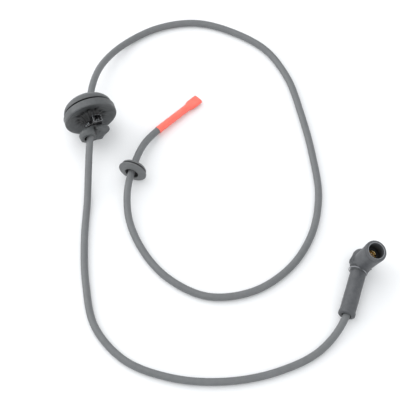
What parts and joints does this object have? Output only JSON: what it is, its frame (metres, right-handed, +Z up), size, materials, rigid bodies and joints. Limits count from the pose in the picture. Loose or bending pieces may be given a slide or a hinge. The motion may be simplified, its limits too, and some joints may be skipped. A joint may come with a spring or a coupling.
{
  "type": "ignition lead",
  "caption": "High-tension ignition lead: grey cable from a rubber elbow boot through a panel grommet and a loose grommet to a push-on terminal.",
  "frame": {"origin": "on the surface that the lead lies on, below the middle of the box round the lead's pieces without its cable", "axes": "+Z up from the surface; +Y away from the viewer, from the elbow boot's end towards the red terminal; +X to the right, from the panel grommet towards the elbow boot"},
  "size_m": [0.2194, 0.3018, 0.0383],
  "materials": {
    "boot_rubber": "satin",
    "panel_rubber": "satin",
    "grommet_rubber": "satin",
    "silicone": "satin",
    "nylon": "gloss",
    "brass": "polished",
    "copper": "stranded",
    "tin": "satin",
    "ceramic": "matt",
    "sleeve_red": "satin"
  },
  "bodies": {
    "lead": {"elbow_boot": "boot_rubber", "contact_socket": "brass", "contact_ring": "tin", "contact_strap": "brass", "suppressor_front_cap": "brass", "suppressor_rod": "ceramic", "suppressor_rear_cap": "brass", "front_conductor": "copper", "cable": "silicone", "panel_grommet": "panel_rubber", "cable_tie": "nylon", "rear_conductor": "copper", "push_on_terminal": "tin", "terminal_sleeve": "sleeve_red"},
    "loose_grommet": {"small_grommet": "grommet_rubber"}
  },
  "joints": [
    {"name": "small_grommet_slide", "type": "slide", "parent": "lead", "child": "loose_grommet", "axis": [0.2164, 0.9763, 0], "range_m": [-0.01, 0.01]}
  ]
}
